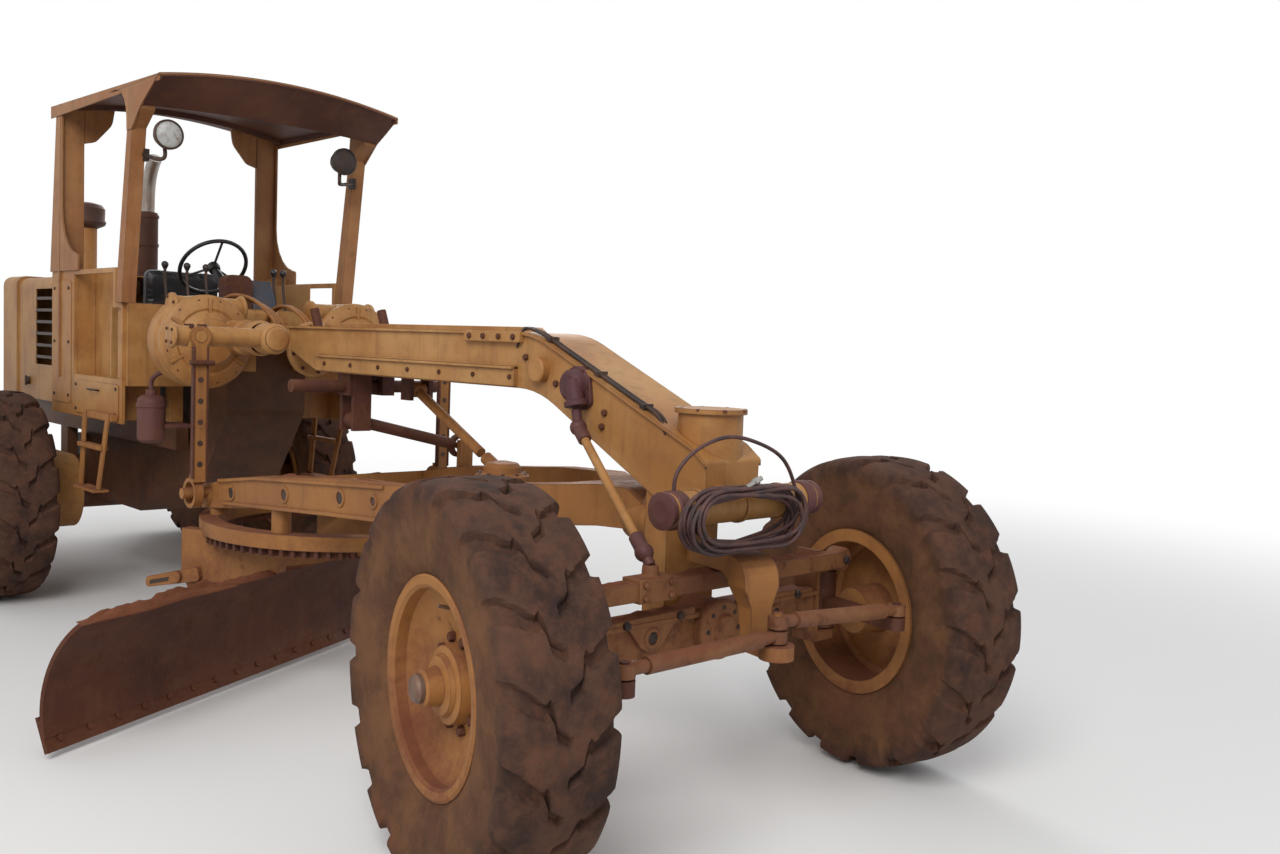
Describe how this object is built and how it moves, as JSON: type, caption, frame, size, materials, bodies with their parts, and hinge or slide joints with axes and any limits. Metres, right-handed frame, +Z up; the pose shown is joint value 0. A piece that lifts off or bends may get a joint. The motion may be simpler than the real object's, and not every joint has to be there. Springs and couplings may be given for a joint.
{
  "type": "motor grader",
  "caption": "Motor grader with open canopy, tandem rear drive, mechanical lift cranks, towed drawbar, toothed circle and curved blade; steers, rolls, lifts and turns its blade.",
  "frame": {"origin": "on the ground under the middle of the machine's box", "axes": "+X forward, +Y to the machine's left, +Z up"},
  "size_m": [8.0224, 3.3848, 3.07],
  "materials": {
    "paint": "faded ochre-yellow enamel, dusty",
    "paint_worn": "worn yellow enamel under red mud",
    "rusty_steel": "rusted and mud-stained",
    "blade_steel": "dark rust with red earth",
    "dark_steel": "dull black, oily",
    "tyre": "worn rubber with dried red mud",
    "hose": "matt hose rubber",
    "seat": "black vinyl",
    "exhaust": "heat-browned steel"
  },
  "bodies": {
    "chassis": {"main_frame": "paint", "front_axle": "rusty_steel", "lean_bar": "rusty_steel", "tandem_cases": "paint", "drive_case": "paint", "rear_frame": "paint", "engine_block": "dark_steel", "engine_hood": "paint", "radiator_guard": "paint", "exhaust": "exhaust", "air_cleaner": "paint", "cab_floor": "paint", "canopy": "paint", "seat": "seat", "steering_column": "dark_steel", "control_levers": "dark_steel", "lift_cases": "paint", "shift_rack": "rusty_steel", "head_lamps": "dark_steel", "steps": "paint", "front_cylinder": "paint", "control_shafts": "rusty_steel", "hose_hank": "hose"},
    "steer_right": {"knuckle_right": "rusty_steel"},
    "steer_left": {"knuckle_left": "rusty_steel"},
    "steering_arm": {"steering_arm": "paint_worn"},
    "tie_rod_right": {"tie_rod_right": "rusty_steel"},
    "tie_rod_left": {"tie_rod_left": "rusty_steel"},
    "wheel_front_right": {"tyre_front_right": "tyre", "rim_front_right": "paint"},
    "wheel_front_left": {"tyre_front_left": "tyre", "rim_front_left": "paint"},
    "wheel_middle_right": {"tyre_middle_right": "tyre", "rim_middle_right": "paint"},
    "wheel_middle_left": {"tyre_middle_left": "tyre", "rim_middle_left": "paint"},
    "wheel_rear_right": {"tyre_rear_right": "tyre", "rim_rear_right": "paint"},
    "wheel_rear_left": {"tyre_rear_left": "tyre", "rim_rear_left": "paint"},
    "drawbar": {"drawbar": "paint_worn"},
    "crank_right": {"crank_right": "paint"},
    "lift_link_right": {"lift_link_right": "paint_worn"},
    "crank_left": {"crank_left": "paint"},
    "lift_link_left": {"lift_link_left": "paint_worn"},
    "blade_turn": {"turn_circle": "paint_worn", "moldboard": "blade_steel", "cutting_edge": "blade_steel"},
    "circle_drive_shaft": {"circle_drive_shaft": "paint_worn"},
    "shift_link": {"shift_link": "rusty_steel"}
  },
  "joints": [
    {"name": "steer_right", "type": "hinge", "parent": "chassis", "child": "steer_right", "pos_m": [3.29, -0.71, 0.65], "axis": [0, 0, 1], "range_deg": [-24, 46]},
    {"name": "steer_left", "type": "hinge", "parent": "chassis", "child": "steer_left", "pos_m": [3.29, 0.71, 0.65], "axis": [0, 0, 1], "range_deg": [-24, 46]},
    {"name": "steer_centre", "type": "hinge", "parent": "chassis", "child": "steering_arm", "pos_m": [3.29, 0, 0.975], "axis": [0, 0, 1], "range_deg": [-24, 46]},
    {"name": "tie_rod_right_eye", "type": "hinge", "parent": "steer_right", "child": "tie_rod_right", "pos_m": [3.70228, -0.79014, 0.757], "axis": [0, 0, 1], "range_deg": [-46, 24]},
    {"name": "tie_rod_left_eye", "type": "hinge", "parent": "steer_left", "child": "tie_rod_left", "pos_m": [3.70228, 0.62986, 0.757], "axis": [0, 0, 1], "range_deg": [-46, 24]},
    {"name": "wheel_front_right_roll", "type": "hinge", "parent": "steer_right", "child": "wheel_front_right", "pos_m": [3.23218, -1.00743, 0.65], "axis": [0.1908, 0.9816, 0], "continuous": true},
    {"name": "wheel_front_left_roll", "type": "hinge", "parent": "steer_left", "child": "wheel_front_left", "pos_m": [3.34782, 1.00743, 0.65], "axis": [0.1908, 0.9816, 0], "continuous": true},
    {"name": "wheel_middle_right_roll", "type": "hinge", "parent": "chassis", "child": "wheel_middle_right", "pos_m": [-1.85, -1.003, 0.65], "axis": [0, 1, 0], "continuous": true},
    {"name": "wheel_middle_left_roll", "type": "hinge", "parent": "chassis", "child": "wheel_middle_left", "pos_m": [-1.85, 1.003, 0.65], "axis": [0, 1, 0], "continuous": true},
    {"name": "wheel_rear_right_roll", "type": "hinge", "parent": "chassis", "child": "wheel_rear_right", "pos_m": [-3.37, -1.003, 0.65], "axis": [0, 1, 0], "continuous": true},
    {"name": "wheel_rear_left_roll", "type": "hinge", "parent": "chassis", "child": "wheel_rear_left", "pos_m": [-3.37, 1.003, 0.65], "axis": [0, 1, 0], "continuous": true},
    {"name": "blade_lift", "type": "hinge", "parent": "chassis", "child": "drawbar", "pos_m": [3.02, 0, 1.06], "axis": [0, 1, 0], "range_deg": [-1.5, 7]},
    {"name": "crank_right", "type": "hinge", "parent": "chassis", "child": "crank_right", "pos_m": [0.44, -0.32, 1.69], "axis": [1, 0, 0], "range_deg": [-49.5, 11]},
    {"name": "lift_link_right_top", "type": "hinge", "parent": "crank_right", "child": "lift_link_right", "pos_m": [0.5, -0.72, 1.69], "axis": [1, 0, 0], "range_deg": [-9, 39.5]},
    {"name": "crank_left", "type": "hinge", "parent": "chassis", "child": "crank_left", "pos_m": [0.44, 0.32, 1.69], "axis": [1, 0, 0], "range_deg": [-11, 49.5]},
    {"name": "lift_link_left_top", "type": "hinge", "parent": "crank_left", "child": "lift_link_left", "pos_m": [0.5, 0.72, 1.69], "axis": [1, 0, 0], "range_deg": [-39.5, 9]},
    {"name": "circle_turn", "type": "hinge", "parent": "drawbar", "child": "blade_turn", "pos_m": [0.76, 0, 0.755], "axis": [0, 0, 1], "range_deg": [-71, 18.5]},
    {"name": "drive_shaft_top", "type": "hinge", "parent": "chassis", "child": "circle_drive_shaft", "pos_m": [1.21, 0.08, 1.464], "axis": [0, 1, 0], "range_deg": [-10.5, 3]},
    {"name": "shift_link_top", "type": "hinge", "parent": "chassis", "child": "shift_link", "pos_m": [0.86, -0.06, 1.29], "axis": [1, 0, 0], "range_deg": [-5.5, 23.5]}
  ],
  "couplings": [
    {"joint": "steer_left", "follows": "steer_right", "ratio": 1},
    {"joint": "steer_centre", "follows": "steer_right", "ratio": 1},
    {"joint": "tie_rod_right_eye", "follows": "steer_right", "ratio": -1},
    {"joint": "tie_rod_left_eye", "follows": "steer_right", "ratio": -1},
    {"joint": "crank_right", "follows": "blade_lift", "ratio": -6.95},
    {"joint": "lift_link_right_top", "follows": "blade_lift", "ratio": 5.55},
    {"joint": "crank_left", "follows": "blade_lift", "ratio": 6.95},
    {"joint": "lift_link_left_top", "follows": "blade_lift", "ratio": -5.55},
    {"joint": "drive_shaft_top", "follows": "blade_lift", "ratio": -1.4},
    {"joint": "shift_link_top", "follows": "blade_lift", "ratio": 3.25}
  ]
}
